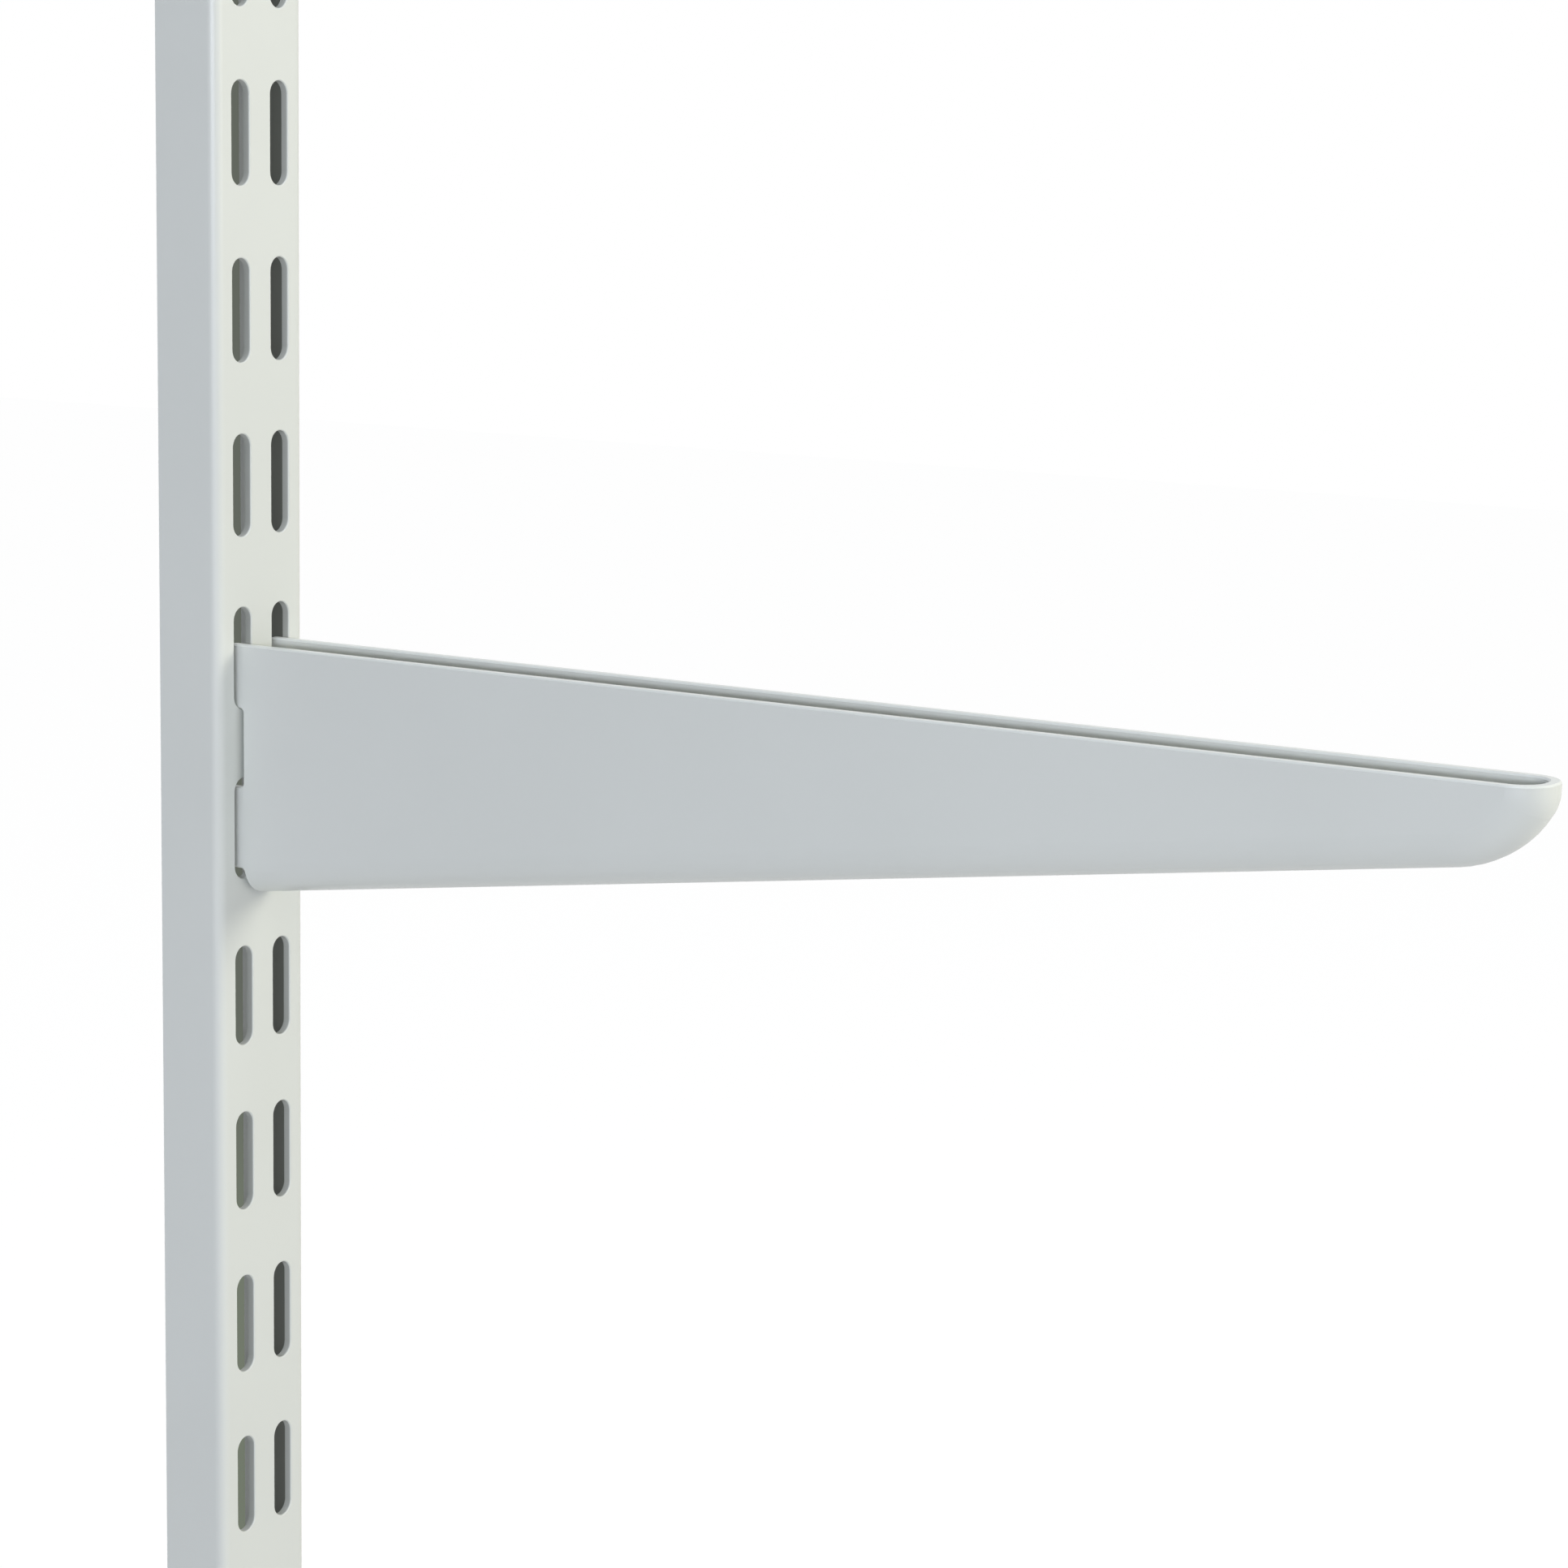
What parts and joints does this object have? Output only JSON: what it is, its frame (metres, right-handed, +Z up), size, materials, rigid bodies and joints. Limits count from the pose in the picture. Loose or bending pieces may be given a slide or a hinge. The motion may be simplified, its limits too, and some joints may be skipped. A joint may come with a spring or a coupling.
{
  "type": "slotted shelf bracket",
  "caption": "Tapering folded sheet shelf bracket with a rounded underside and nose, hooked into a slotted wall upright.",
  "frame": {"origin": "centre of the wall screw pattern on the front face of the upright, which is also the centre of the row of slots that takes the bracket's tabs", "axes": "+X across the upright, -Y straight out of the wall along the bracket, +Z up along the upright"},
  "size_m": [0.025, 0.268, 0.43],
  "materials": {
    "upright_paint": "satin",
    "bracket_paint": "satin"
  },
  "bodies": {
    "root": {"slotted_upright": "upright_paint", "shelf_bracket": "bracket_paint"}
  },
  "joints": []
}
